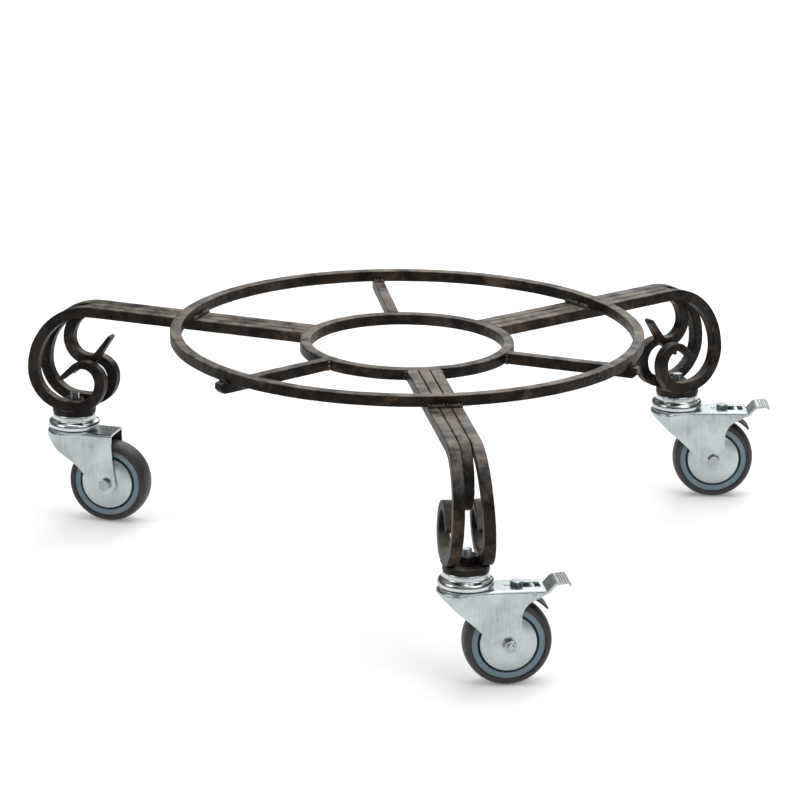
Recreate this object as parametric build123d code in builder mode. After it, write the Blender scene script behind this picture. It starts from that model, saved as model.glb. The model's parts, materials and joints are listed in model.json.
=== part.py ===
from build123d import *
import os
from math import acos, asin, atan, atan2, cos, degrees, radians, sin, tan

# Wrought-iron plant pot caddy on three swivel castors. Millimetres, +Z up.
# It is laid out about the axis of its two rings and then moved, at the end, so that
# its origin is the middle of its footprint on the floor.

# ---- driving dimensions: the iron frame ----------------------------------------------
bar = 10.0                    # side of the square bar that the whole frame is made of
bar_gap = 0.3                 # seam between bars that lie side by side
outer_ring_radius = 210.0     # to the outside of the ring that the pot stands on
inner_ring_radius = 95.0      # to the outside of the small ring
ring_edge = 0.9               # rounding of the rings' worn edges
swivel_reach = 116.0          # castor's swivel axis, beyond the outside of the outer ring
spoke_overhang = 6.0          # spoke's end, beyond the outside of the outer ring
spoke_bevel = 4.0             # forged bevel on the spoke's end
front_leg_angle = -81.0       # the other legs are a third of a turn on
right_spoke_angle = -21.0     # the spokes were set between the legs by eye
rear_spoke_angle = 97.6
left_spoke_angle = 221.7

# scroll at the end of each outer leg bar, measured on the bar's centreline
scroll_depth = 90.0           # from the straight run down to the foot
scroll_top_radius = 57.0
scroll_foot_flat = 10.0       # straight stretch that is welded to the pad
scroll_seat_offset = 0.5      # outer end of that stretch, beyond the swivel axis
scroll_loop_radius = 24.0
scroll_eye_radius = 16.0
scroll_eye_turn = 132.0       # degrees round the eye before the tail runs straight
scroll_tail = 17.5
foot_to_nut = 1.5             # scroll's foot to the weld nut that stands between the feet
twist_start = 5.0             # where a leg bar begins to turn outwards, past the ring

# hook at the end of each middle leg bar
hook_setback = 2.0            # the hook begins this far before the scrolls do
hook_top_radius = 29.0
hook_bottom_radius = 19.0
hook_eye_radius = 11.0
hook_eye_turn = 55.0
hook_tail = 24.0
tail_tip = 4.0                # thickness of a drawn-out tail at its tip

pad_thickness = 5.0

# ---- driving dimensions: the castors --------------------------------------------------
wheel_radius = 37.5
tyre_width = 24.0
tyre_depth = 6.5
tyre_shoulder = 6.0
rim_depth = 5.5
rim_set_in = 1.5              # rim's side, in from the tyre's
web_thickness = 6.0
hub_radius = 10.0
hub_proud = 0.5               # hub's end, out from the tyre's side
bush_wall = 2.0
guard_radius = 24.0
guard_thickness = 0.8
guard_flat = 12.0             # radius of its flat middle
guard_dish = 2.5              # how far its edge lies in from that
trail = 35.0                  # axle behind the swivel axis
sheet = 2.0                   # thickness of the fork's steel
tyre_gap = 7.5                # tyre to the underside of the fork's top
fork_boss = 10.0              # rounding of each cheek about the axle
fork_front = 24.5             # fork's nose, ahead of the swivel axis
plain_fork_rear = 40.5        # fork's top, behind the swivel axis, where there is no brake
braked_fork_rear = 64.5
throat_radius = 17.0          # hollow under the braked fork's tail
throat_turn = 62.0
tail_depth = 4.0              # braked fork's cheeks at their rear end
nose_hollow = 1.7             # bow of the cheeks' front edge
nose_lip = 1.0                # sheet turned down at the nose before its edge falls away
flare_start = 8.0             # cheeks flare from this far behind the swivel axis to as far ahead
track_lip = 22.3              # round lip of the ball track
track_lip_rise = 0.9          # lip's edge, above the fork's top
track_slope = 2.3             # width of the slope that leads up from the lip
track_slope_rise = 1.5
track_skirt = 18.6            # hollow below it

head_height = 15.5            # fork's top to the pad
cap_radius = 24.0             # at the bulge
cap_crown_radius = 19.5
cap_wall = 1.5
cap_bevel = 1.5               # round the crown's edge
cap_flare = 0.8               # crown's side widens by this down to the step
cap_step_depth = 5.5          # depths below the crown's top face
cap_shoulder_depth = 8.0
cap_bulge_depth = 10.8
cap_lip_depth = 13.6
cap_shoulder_in = 0.8         # shoulder and lip, in from the bulge
cap_lip_in = 1.2
race_radius = 13.0
race_rise = 7.5               # pressed-up ball track above the fork's top
race_bevel = 1.5
race_crease = 0.5             # bevel of the track's edge, inside and out
ball_radius = 3.0
ball_count = 12
king_pin_radius = 8.0
king_pin_flange = 12.0
king_pin_flange_thickness = 2.0

# ---- driving dimensions: fasteners and brake -------------------------------------------
mounting_bolt_radius = 5.0    # M10
mounting_bolt_flats = 17.0
mounting_bolt_head = 6.4
weld_nut_height = 8.0
bolt_end = 5.0                # thread standing out above the weld nut
axle_radius = 3.0             # M6
axle_flats = 10.0
axle_head = 4.0
axle_nut = 5.0
axle_end = 2.0
axle_tube_wall = 1.5

brake_bolt_at = 42.5          # all brake places are behind the swivel axis
brake_bolt_radius = 3.0
brake_bolt_flats = 10.0
brake_bolt_head = 4.0
brake_bolt_collar = 4.2
brake_bolt_collar_thickness = 1.0
brake_bolt_reach = 7.5        # collar's lower face, below the fork's upper face
slot_start = 31.7
slot_width = 1.5
shoe_thickness = 1.6
shoe_set_in = 2.0             # shoe's side, in from the tyre's
shoe_gap = 0.9                # below the fork's top
shoe_lift = 5.0               # shoe to tyre when the brake is off
shoe_bend_at = 46.0
shoe_wrap_to = 50.0           # degrees behind the top of the wheel
shoe_eye_gap = 0.6
window_start = 47.0
window_end = 62.0
window_width = 13.0
pedal_pin_at = 55.5
pedal_pin_drop = 3.5          # below the fork's upper face
pedal_pin_radius = 2.0
pedal_hub_radius = 3.3
pedal_thickness = 2.5
pedal_neck = 2.0              # pedal runs level to this far behind the fork
pedal_rise_length = 7.0       # then climbs over this length
pedal_heel = 3.5              # foot rest's centreline above the fork's top, at its near end
pedal_toe = 5.0               # and at its tip
pedal_bend = 4.0
pedal_tip_at = 86.0
pedal_grooves = 5
groove_radius = 0.6
groove_pitch = 2.0

# ---- clearances ------------------------------------------------------------------------
fit = 0.05                    # pins, bolts and bushes in their holes, on the radius
swivel_gap = 0.3              # between faces that turn past each other
ball_play = 0.25
cam_gap = 0.5                 # pedal's hub to the sides of the window
pedal_gap = 1.0               # pedal to the underside of the fork's top
guard_bore_gap = 0.7
guard_gap = 0.7               # thread guards to the fork's cheeks
pedal_side_gap = 1.0          # pedal to the fork's cheeks
face_overlap = 0.1            # ball track's skirt into the fork's top

# ---- levels that follow ------------------------------------------------------------------
fork_top = 2 * wheel_radius + tyre_gap + sheet
crown_under = fork_top - sheet
head_top = fork_top + head_height
pad_top = head_top + pad_thickness
pitch = bar + bar_gap
foot_spread = mounting_bolt_flats / 2 + foot_to_nut + bar / 2
pad_radius = foot_spread + bar / 2
tilt = atan((foot_spread - pitch) / scroll_depth)
run_level = pad_top + (scroll_depth + bar / 2) * cos(tilt) - bar / 2 * sin(tilt)
ring_bottom = run_level + bar / 2
pot_seat = ring_bottom + bar
swivel_radius = outer_ring_radius + swivel_reach
scroll_foot_radius = scroll_depth - scroll_top_radius
scroll_start = swivel_radius + scroll_seat_offset + scroll_foot_radius - scroll_top_radius
hook_start = scroll_start - hook_setback
wheel_level = wheel_radius
hub_width = tyre_width + 2 * hub_proud
cheek_inside = hub_width / 2 + guard_thickness + guard_gap
fork_width = 2 * (cheek_inside + sheet)
tube_radius = axle_radius + fit + axle_tube_wall
bush_radius = tube_radius + fit + bush_wall
rim_radius = wheel_radius - tyre_depth
rim_inside = rim_radius - rim_depth
brake_bolt_low = fork_top - brake_bolt_reach
race_top = fork_top + race_rise
track_edge = race_radius + ball_radius
flange_top = race_top - sheet - swivel_gap
bolt_head_top = flange_top - king_pin_flange_thickness

legs = {"front": front_leg_angle, "right": front_leg_angle + 120, "left": front_leg_angle + 240}
spokes = {"right": right_spoke_angle, "rear": rear_spoke_angle, "left": left_spoke_angle}
# the way each castor trails as it stands, and whether it has a brake
trail_angles = {"front": 8.4, "right": 1.4, "left": -15.4}
braked = {"front": True, "right": True, "left": False}
nut_side = {"front": 1, "right": -1, "left": -1}

pieces = {}


def keep(name, piece):
    """Label a finished piece and put it with the others."""
    piece.label = name
    pieces[name] = piece


def turned(angle):
    """Unit vector along the floor at this angle from +X."""
    return Vector(cos(radians(angle)), sin(radians(angle)), 0)


def upright(angle, origin=Vector(0, 0, 0)):
    """Vertical plane: x runs along the floor at this angle, y up, z to the right of x."""
    return Plane(origin=origin, x_dir=turned(angle), z_dir=turned(angle - 90))


def cross_section(angle, out, side, lean=0.0):
    """Plane across a leg bar, `out` from the ring axis, leaning by `lean` degrees."""
    across = upright(angle).z_dir * side
    up = Vector(0, 0, 1) * cos(radians(lean)) - across * sin(radians(lean))
    centre = turned(angle) * out + across * pitch + Vector(0, 0, run_level)
    return Plane(origin=centre, x_dir=up, z_dir=turned(angle))


def curl(start, radii, turns, flat_after, offset):
    """Draw arcs bending clockwise one after another, `offset` outside their centreline.

    Returns the point where they end and the direction there.
    """
    point, heading = Vector(start[0], start[1] + offset), Vector(1, 0)
    for index, (radius, turn) in enumerate(zip(radii, turns)):
        arc = JernArc(start=point, tangent=heading, radius=radius + offset, arc_size=-turn)
        point, heading = arc @ 1, arc % 1
        if index == flat_after:
            flat = Line(point, point + heading * scroll_foot_flat)
            point = flat @ 1
    return point, heading


def curled_bar(start, radii, turns, tail, flat_after=None):
    """Closed outline of a bar that curls over and ends in a straight drawn-out tail."""
    outer, heading = curl(start, radii, turns, flat_after, bar / 2)
    inner, _ = curl(start, radii, turns, flat_after, -bar / 2)
    middle = (outer + inner) / 2
    left = Vector(-heading.Y, heading.X)
    tip = middle + heading * tail
    Line(outer, tip + left * tail_tip / 2)
    Line(tip + left * tail_tip / 2, tip - left * tail_tip / 2)
    Line(tip - left * tail_tip / 2, inner)
    Line((start[0], start[1] + bar / 2), (start[0], start[1] - bar / 2))


# ==== the two rings =======================================================================
with BuildPart() as outer_ring:
    with BuildSketch(Plane.XY.offset(ring_bottom)):
        Circle(outer_ring_radius)
        Circle(outer_ring_radius - bar, mode=Mode.SUBTRACT)
    extrude(amount=bar)
    fillet(outer_ring.faces().sort_by(Axis.Z)[-1].edges(), ring_edge)
keep("outer_ring", outer_ring.part)

with BuildPart() as inner_ring:
    with BuildSketch(Plane.XY.offset(run_level - bar / 2)):
        Circle(inner_ring_radius)
        Circle(inner_ring_radius - bar, mode=Mode.SUBTRACT)
    extrude(amount=bar)
    fillet(inner_ring.faces().sort_by(Axis.Z)[-1].edges(), ring_edge)
keep("inner_ring", inner_ring.part)

# ==== the three spokes: single bars from the inner ring to under the outer one ==============
for name, angle in spokes.items():
    with BuildPart() as spoke:
        with BuildSketch(upright(angle)):
            with BuildLine():
                inside = inner_ring_radius - bar / 2
                outside = outer_ring_radius + spoke_overhang
                Polyline(
                    (inside, run_level - bar / 2),
                    (outside - spoke_bevel, run_level - bar / 2),
                    (outside, run_level - bar / 2 + spoke_bevel),
                    (outside, run_level + bar / 2),
                    (inside, run_level + bar / 2),
                    close=True,
                )
            make_face()
        extrude(amount=bar / 2, both=True)
        with BuildSketch(Plane.XY.offset(run_level - bar)):
            Circle(inner_ring_radius)
        extrude(amount=2 * bar, mode=Mode.SUBTRACT)
    keep(f"{name}_spoke", spoke.part)

# ==== the legs: two scrolled bars with a hooked bar between them ============================
for leg, angle in legs.items():
    for hand, side in (("right", 1), ("left", -1)):
        twist_from = outer_ring_radius + twist_start
        lean = degrees(tilt)
        leaning = Plane(
            origin=cross_section(angle, 0, side).origin,
            x_dir=turned(angle),
            z_dir=upright(angle).z_dir * cos(tilt) + Vector(0, 0, 1) * side * sin(tilt),
        )
        with BuildPart() as scroll:
            with BuildSketch(cross_section(angle, inner_ring_radius - bar, side)):
                Rectangle(bar, bar)
            extrude(amount=twist_from - inner_ring_radius + bar)
            with BuildSketch(cross_section(angle, twist_from, side)):
                Rectangle(bar, bar)
            with BuildSketch(cross_section(angle, scroll_start, side, lean)):
                Rectangle(bar, bar)
            loft()
            with BuildSketch(leaning):
                with BuildLine():
                    curled_bar(
                        (scroll_start, 0),
                        (scroll_top_radius, scroll_foot_radius, scroll_loop_radius, scroll_eye_radius),
                        (90, 90, 90, scroll_eye_turn),
                        scroll_tail,
                        flat_after=1,
                    )
                make_face()
            extrude(amount=bar / 2, both=True)
            with BuildSketch(Plane.XY.offset(run_level - bar)):
                Circle(inner_ring_radius)
            extrude(amount=2 * bar, mode=Mode.SUBTRACT)
            split(bisect_by=Plane.XY.offset(pad_top), keep=Keep.TOP)
        keep(f"{leg}_leg_{hand}_scroll", scroll.part)

    with BuildPart() as hook:
        with BuildSketch(cross_section(angle, inner_ring_radius - bar, 0)):
            Rectangle(bar, bar)
        extrude(amount=hook_start - inner_ring_radius + bar)
        with BuildSketch(upright(angle)):
            with BuildLine():
                curled_bar(
                    (hook_start, run_level),
                    (hook_top_radius, hook_bottom_radius, hook_eye_radius),
                    (90, 90, hook_eye_turn),
                    hook_tail,
                )
            make_face()
        extrude(amount=bar / 2, both=True)
        with BuildSketch(Plane.XY.offset(run_level - bar)):
            Circle(inner_ring_radius)
        extrude(amount=2 * bar, mode=Mode.SUBTRACT)
    keep(f"{leg}_leg_hook", hook.part)

# ==== the pads under the scrolls, and what bolts the castors to them =========================
swivels = {leg: turned(angle) * swivel_radius for leg, angle in legs.items()}


def level(leg, z):
    """Horizontal plane on a castor's swivel axis, x the way the castor trails."""
    return Plane(origin=swivels[leg] + Vector(0, 0, z), x_dir=turned(trail_angles[leg]), z_dir=(0, 0, 1))


def midplane(leg):
    """Vertical plane through a castor's wheel: x behind the swivel axis, y up."""
    return upright(trail_angles[leg], swivels[leg])


for leg in legs:
    with BuildPart() as pad:
        with BuildSketch(level(leg, head_top)):
            Circle(pad_radius)
            Circle(mounting_bolt_radius + fit, mode=Mode.SUBTRACT)
        extrude(amount=pad_thickness)
    keep(f"{leg}_pad", pad.part)

with BuildPart() as weld_nuts:
    for leg, angle in legs.items():
        over_pad = swivels[leg] + Vector(0, 0, pad_top)
        flats_along_leg = Plane(origin=over_pad, x_dir=turned(angle), z_dir=(0, 0, 1))
        with BuildSketch(flats_along_leg):
            RegularPolygon(mounting_bolt_flats / 2, 6, major_radius=False, rotation=30)
            Circle(mounting_bolt_radius + fit, mode=Mode.SUBTRACT)
        extrude(amount=weld_nut_height)
keep("weld_nuts", weld_nuts.part)

with BuildPart() as mounting_bolts:
    for leg in legs:
        with BuildSketch(level(leg, bolt_head_top)):
            RegularPolygon(mounting_bolt_flats / 2, 6, major_radius=False)
        extrude(amount=-mounting_bolt_head)
        with BuildSketch(level(leg, bolt_head_top)):
            Circle(mounting_bolt_radius)
        extrude(amount=pad_top + weld_nut_height + bolt_end - bolt_head_top)
        bolt_tip = mounting_bolts.faces().filter_by(Axis.Z).sort_by(Axis.Z)[-1]
        chamfer(bolt_tip.edges(), 1)
keep("mounting_bolts", mounting_bolts.part)

# ==== the castors ============================================================================
for leg in legs:
    axis = Axis(swivels[leg], (0, 0, 1))
    side = midplane(leg)
    near = nut_side[leg]
    axle_middle = swivels[leg] + turned(trail_angles[leg]) * trail + Vector(0, 0, wheel_level)
    wheel_axis = Axis(axle_middle, side.z_dir)
    along_axle = Plane(origin=wheel_axis.position, x_dir=(0, 0, 1), z_dir=-turned(trail_angles[leg]))
    rear = braked_fork_rear if braked[leg] else plain_fork_rear

    # pressed dome over the ball race: crown, step, bulge, then a lip that turns under
    with BuildPart() as cap:
        with BuildSketch(side):
            with BuildLine():
                bulge_level = head_top - cap_bulge_depth
                lip_level = head_top - cap_lip_depth
                shoulder = Vector(cap_radius - cap_shoulder_in, head_top - cap_shoulder_depth)
                step = Vector(cap_crown_radius + cap_flare, head_top - cap_step_depth)
                inward = Vector(-cap_wall, -cap_wall / 2)
                lip_outside = cap_radius - cap_lip_in
                Polyline(
                    (king_pin_radius + fit, head_top),
                    (cap_crown_radius - cap_bevel, head_top),
                    (cap_crown_radius, head_top - cap_bevel),
                    step,
                    shoulder,
                )
                ThreePointArc(shoulder, (cap_radius, bulge_level), (lip_outside, lip_level))
                Line((lip_outside, lip_level), (lip_outside - cap_wall, lip_level))
                ThreePointArc(
                    (lip_outside - cap_wall, lip_level),
                    (cap_radius - cap_wall, bulge_level),
                    shoulder + inward,
                )
                Polyline(
                    shoulder + inward,
                    step + inward,
                    (cap_crown_radius - cap_wall, head_top - cap_wall),
                    (king_pin_radius + fit, head_top - cap_wall),
                    (king_pin_radius + fit, head_top),
                )
            make_face()
        revolve(axis=axis)
    keep(f"{leg}_swivel_cap", cap.part)

    # hollow rivet that holds the swivel together and lets the mounting bolt through
    with BuildPart() as king_pin:
        with BuildSketch(level(leg, flange_top)):
            Circle(king_pin_radius)
            Circle(mounting_bolt_radius + fit, mode=Mode.SUBTRACT)
        extrude(amount=head_top - flange_top)
        with BuildSketch(level(leg, flange_top)):
            Circle(king_pin_flange)
            Circle(mounting_bolt_radius + fit, mode=Mode.SUBTRACT)
        extrude(amount=-king_pin_flange_thickness)
    keep(f"{leg}_king_pin", king_pin.part)

    with BuildPart() as balls:
        with Locations(level(leg, race_top + ball_play + ball_radius)):
            with PolarLocations(race_radius, ball_count):
                Sphere(ball_radius)
    keep(f"{leg}_swivel_balls", balls.part)

    # fork: one folded sheet, its cheeks flaring out under the round ball track
    cheek = fork_width / 2
    nose_radius = fork_front
    flare_out = (nose_radius**2 - flare_start**2) ** 0.5
    edge_from = Vector(-fork_front - nose_lip, crown_under)
    boss = Vector(trail, wheel_level)
    to_nose = edge_from - boss
    touch = degrees(atan2(to_nose.Y, to_nose.X)) + degrees(acos(fork_boss / to_nose.length))
    edge_to = boss + Vector(cos(radians(touch)), sin(radians(touch))) * fork_boss
    bow = (edge_from + edge_to) / 2 + (edge_to - edge_from).normalized().rotate(Axis.Z, 90) * nose_hollow
    with BuildPart() as fork:
        cheek_rear = max(rear, trail + fork_boss)
        for inset, back, mode in ((0, cheek_rear, Mode.ADD), (sheet, cheek_rear + fork_width, Mode.SUBTRACT)):
            with BuildSketch(level(leg, fork_top - inset)):
                with BuildLine():
                    shrink = (nose_radius - inset) / nose_radius
                    left_flare = Vector(-flare_start, flare_out) * shrink
                    right_flare = Vector(-flare_start, -flare_out) * shrink
                    ThreePointArc(right_flare, (inset - nose_radius, 0), left_flare)
                    Polyline(
                        left_flare,
                        (flare_start, cheek - inset),
                        (back, cheek - inset),
                        (back, inset - cheek),
                        (flare_start, inset - cheek),
                        right_flare,
                    )
                make_face()
            extrude(amount=-fork_top, mode=mode)
        with BuildSketch(side):
            with BuildLine():
                Polyline((-2 * fork_front, fork_top), (-2 * fork_front, edge_from.Y), edge_from)
                ThreePointArc(edge_from, bow, edge_to)
                ThreePointArc(edge_to, boss - Vector(0, fork_boss), (trail + fork_boss, wheel_level))
                if braked[leg]:
                    turn = radians(throat_turn)
                    throat_end_at = trail + fork_boss + throat_radius * (1 - cos(turn))
                    throat_end = fork_top - tail_depth - (rear - throat_end_at) / tan(turn)
                    throat_level = throat_end - throat_radius * sin(turn)
                    Line((trail + fork_boss, wheel_level), (trail + fork_boss, throat_level))
                    throat = JernArc((trail + fork_boss, throat_level), (0, 1), throat_radius, -throat_turn)
                    Line(throat @ 1, (rear, fork_top - tail_depth))
                    Line((rear, fork_top - tail_depth), (rear, fork_top))
                else:
                    halfway = (wheel_level + fork_top) / 2
                    rear_bow = (2 * rear + trail + fork_boss) / 3
                    ThreePointArc((trail + fork_boss, wheel_level), (rear_bow, halfway), (rear, fork_top))
                Line((rear, fork_top), (-2 * fork_front, fork_top))
            make_face()
        extrude(amount=2 * fork_width, both=True, mode=Mode.INTERSECT)
        with BuildSketch(level(leg, fork_top)):
            Circle(track_skirt)
        extrude(amount=-sheet, mode=Mode.SUBTRACT)
        with BuildSketch(side):
            with BuildLine():
                Polyline(
                    (king_pin_radius + fit, race_top),
                    (track_edge - race_crease, race_top),
                    (track_edge + race_bevel, race_top - race_bevel),
                    (track_lip - track_slope, fork_top + track_slope_rise),
                    (track_lip, fork_top + track_lip_rise),
                    (track_lip, crown_under),
                    (track_skirt - face_overlap, crown_under),
                    (track_edge, race_top - sheet - race_crease),
                    (track_edge - race_crease, race_top - sheet),
                    (king_pin_radius + fit, race_top - sheet),
                    close=True,
                )
            make_face()
        revolve(axis=axis)
        with BuildSketch(side):
            with Locations((trail, wheel_level)):
                Circle(axle_radius + fit)
            if braked[leg]:
                with Locations((pedal_pin_at, fork_top - pedal_pin_drop)):
                    Circle(pedal_pin_radius + fit)
        extrude(amount=fork_width, both=True, mode=Mode.SUBTRACT)
        if braked[leg]:
            with BuildSketch(level(leg, fork_top)):
                with Locations((brake_bolt_at, 0)):
                    Circle(brake_bolt_radius + fit)
                with Locations(((window_start + window_end) / 2, 0)):
                    RectangleRounded(window_end - window_start, window_width, 1)
                with Locations(((slot_start + brake_bolt_at) / 2, 0)):
                    Rectangle(brake_bolt_at - slot_start, slot_width)
            extrude(amount=-sheet, mode=Mode.SUBTRACT)
    keep(f"{leg}_fork", fork.part)

    # axle: bolt through both cheeks, with a spacer tube between them and a nut
    head_face = -near * cheek
    with BuildPart() as axle:
        with BuildSketch(side.offset(head_face)):
            with Locations((trail, wheel_level)):
                RegularPolygon(axle_flats / 2, 6, major_radius=False)
        extrude(amount=-near * axle_head)
        with BuildSketch(side.offset(head_face)):
            with Locations((trail, wheel_level)):
                Circle(axle_radius)
        extrude(amount=near * (fork_width + axle_nut + axle_end))
    keep(f"{leg}_axle_bolt", axle.part)

    with BuildPart() as nut:
        with BuildSketch(side.offset(near * cheek)):
            with Locations((trail, wheel_level)):
                RegularPolygon(axle_flats / 2, 6, major_radius=False, rotation=30)
                Circle(axle_radius + fit, mode=Mode.SUBTRACT)
        extrude(amount=near * axle_nut)
    keep(f"{leg}_axle_nut", nut.part)

    with BuildPart() as axle_tube:
        with BuildSketch(side):
            with Locations((trail, wheel_level)):
                Circle(tube_radius)
                Circle(axle_radius + fit, mode=Mode.SUBTRACT)
        extrude(amount=cheek_inside, both=True)
    keep(f"{leg}_axle_tube", axle_tube.part)

    # wheel: bush pressed into a moulded rim, soft tyre round it, pressed guards on its sides
    with BuildPart() as bush:
        with BuildSketch(side):
            with Locations((trail, wheel_level)):
                Circle(bush_radius)
                Circle(tube_radius + fit, mode=Mode.SUBTRACT)
        extrude(amount=hub_width / 2, both=True)
    keep(f"{leg}_wheel_bush", bush.part)

    with BuildPart() as rim:
        for outer, inner, width in (
            (hub_radius, bush_radius, hub_width),
            (rim_inside, hub_radius, web_thickness),
            (rim_radius, rim_inside, tyre_width - 2 * rim_set_in),
        ):
            with BuildSketch(side):
                with Locations((trail, wheel_level)):
                    Circle(outer)
                    Circle(inner, mode=Mode.SUBTRACT)
            extrude(amount=width / 2, both=True)
    keep(f"{leg}_wheel_rim", rim.part)

    with BuildPart() as tyre:
        with BuildSketch(side):
            with Locations((trail, wheel_level)):
                Circle(wheel_radius)
                Circle(rim_radius, mode=Mode.SUBTRACT)
        extrude(amount=tyre_width / 2, both=True)
        tread = tyre.faces().filter_by(GeomType.CYLINDER).sort_by(SortBy.AREA)[-1]
        fillet(tread.edges().filter_by(GeomType.CIRCLE), min(tyre_shoulder, 0.9 * tyre_depth))
    keep(f"{leg}_tyre", tyre.part)

    # the guards touch the hub's ends and slope in towards the rim
    with BuildPart() as guards:
        for face in (1, -1):
            with BuildSketch(along_axle):
                with BuildLine():
                    Polyline(
                        (tube_radius + guard_bore_gap, face * hub_width / 2),
                        (guard_flat, face * hub_width / 2),
                        (guard_radius, face * (hub_width / 2 - guard_dish)),
                        (guard_radius, face * (hub_width / 2 - guard_dish + guard_thickness)),
                        (guard_flat, face * (hub_width / 2 + guard_thickness)),
                        (tube_radius + guard_bore_gap, face * (hub_width / 2 + guard_thickness)),
                        close=True,
                    )
                make_face()
        revolve(axis=wheel_axis)
    keep(f"{leg}_thread_guards", guards.part)

    if not braked[leg]:
        continue

    # brake: a pedal with a cam hub presses the shoe, which hangs on a bolt, onto the tread
    with BuildPart() as brake_bolt:
        with BuildSketch(level(leg, fork_top)):
            with Locations((brake_bolt_at, 0)):
                RegularPolygon(brake_bolt_flats / 2, 6, major_radius=False)
        extrude(amount=brake_bolt_head)
        with BuildSketch(level(leg, fork_top)):
            with Locations((brake_bolt_at, 0)):
                Circle(brake_bolt_radius)
        extrude(amount=brake_bolt_low - fork_top)
        with BuildSketch(level(leg, brake_bolt_low)):
            with Locations((brake_bolt_at, 0)):
                Circle(brake_bolt_collar)
        extrude(amount=brake_bolt_collar_thickness)
    keep(f"{leg}_brake_bolt", brake_bolt.part)

    shoe_level = crown_under - shoe_gap - shoe_thickness / 2
    shoe_ride = wheel_radius + shoe_lift + shoe_thickness / 2
    shoe_wrap_from = degrees(asin((pedal_pin_at - pedal_hub_radius - trail) / shoe_ride))
    with BuildPart() as shoe:
        with BuildSketch(side):
            with BuildLine() as shoe_line:
                wrap = [
                    (trail + shoe_ride * sin(radians(a)), wheel_level + shoe_ride * cos(radians(a)))
                    for a in (shoe_wrap_from, (shoe_wrap_from + shoe_wrap_to) / 2, shoe_wrap_to)
                ]
                Polyline((brake_bolt_at - brake_bolt_radius, shoe_level), (shoe_bend_at, shoe_level), wrap[0])
                ThreePointArc(*wrap)
            SlotArc(shoe_line.wires()[0], shoe_thickness, mode=Mode.ADD)
        extrude(amount=tyre_width / 2 - shoe_set_in, both=True)
        with BuildSketch(level(leg, fork_top)):
            with Locations((brake_bolt_at, 0)):
                Circle(brake_bolt_radius + shoe_eye_gap)
        extrude(amount=-2 * tyre_gap, mode=Mode.SUBTRACT)
    keep(f"{leg}_brake_shoe", shoe.part)

    pin_level = fork_top - pedal_pin_drop
    with BuildPart() as pedal_pin:
        with BuildSketch(side):
            with Locations((pedal_pin_at, pin_level)):
                Circle(pedal_pin_radius)
        extrude(amount=cheek, both=True)
    keep(f"{leg}_pedal_pin", pedal_pin.part)

    neck = Vector(rear + pedal_neck, crown_under - pedal_gap - pedal_thickness / 2)
    heel = Vector(rear + pedal_neck + pedal_rise_length, fork_top + pedal_heel)
    toe = Vector(pedal_tip_at, fork_top + pedal_toe)
    from_toe = (heel - toe).normalized()
    groove_from = toe + from_toe.rotate(Axis.Z, -90) * pedal_thickness / 2
    with BuildPart() as pedal:
        with BuildSketch(side):
            with BuildLine() as pedal_line:
                FilletPolyline((pedal_pin_at + pedal_hub_radius, neck.Y), neck, heel, toe, radius=pedal_bend)
            SlotArc(pedal_line.wires()[0], pedal_thickness)
            for groove in range(pedal_grooves):
                with Locations(groove_from + from_toe * groove_pitch * (groove + 0.5)):
                    Circle(groove_radius, mode=Mode.SUBTRACT)
        extrude(amount=cheek_inside - pedal_side_gap, both=True)
        with BuildSketch(side):
            with Locations((pedal_pin_at, pin_level)):
                Circle(pedal_hub_radius)
            with Locations((pedal_pin_at + pedal_hub_radius / 2, neck.Y)):
                Rectangle(pedal_hub_radius, pedal_thickness)
        extrude(amount=window_width / 2 - cam_gap, both=True)
        with BuildSketch(side):
            with Locations((pedal_pin_at, pin_level)):
                Circle(pedal_pin_radius + fit)
        extrude(amount=fork_width, both=True, mode=Mode.SUBTRACT)
    keep(f"{leg}_brake_pedal", pedal.part)

# ==== the caddy moves to the middle of its footprint, on the floor ================================
boxes = [piece.bounding_box() for piece in pieces.values()]
low = Vector(*(min(getattr(box.min, letter) for box in boxes) for letter in "XYZ"))
high = Vector(*(max(getattr(box.max, letter) for box in boxes) for letter in "XYZ"))
to_origin = Location((-(low.X + high.X) / 2, -(low.Y + high.Y) / 2, -low.Z))
os.makedirs("parts", exist_ok=True)
for name, piece in pieces.items():
    piece.move(to_origin)
    export_step(piece, f"parts/{name}.step")
print("ring axis at", to_origin.position, "size", high - low)
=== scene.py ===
import json
from math import acos, asin, atan, atan2, cos, hypot, pi, radians, sin, sqrt

import bmesh
import bpy
from mathutils import Matrix, Vector, noise


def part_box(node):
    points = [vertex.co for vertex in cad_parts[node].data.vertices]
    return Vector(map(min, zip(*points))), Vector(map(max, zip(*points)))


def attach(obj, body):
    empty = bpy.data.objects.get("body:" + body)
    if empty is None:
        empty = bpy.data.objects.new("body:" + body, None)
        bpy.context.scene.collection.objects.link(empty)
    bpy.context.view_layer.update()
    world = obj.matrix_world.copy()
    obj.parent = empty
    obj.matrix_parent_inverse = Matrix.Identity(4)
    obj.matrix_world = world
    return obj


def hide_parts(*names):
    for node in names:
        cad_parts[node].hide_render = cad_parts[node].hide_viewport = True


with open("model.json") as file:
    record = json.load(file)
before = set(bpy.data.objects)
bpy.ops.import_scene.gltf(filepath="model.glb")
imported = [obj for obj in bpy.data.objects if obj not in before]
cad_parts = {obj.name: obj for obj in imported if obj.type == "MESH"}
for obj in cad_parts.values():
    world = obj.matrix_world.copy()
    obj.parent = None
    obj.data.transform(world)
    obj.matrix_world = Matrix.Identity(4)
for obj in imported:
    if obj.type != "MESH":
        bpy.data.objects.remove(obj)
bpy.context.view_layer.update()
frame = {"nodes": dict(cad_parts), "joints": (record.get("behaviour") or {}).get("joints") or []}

mm = 0.001

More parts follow.
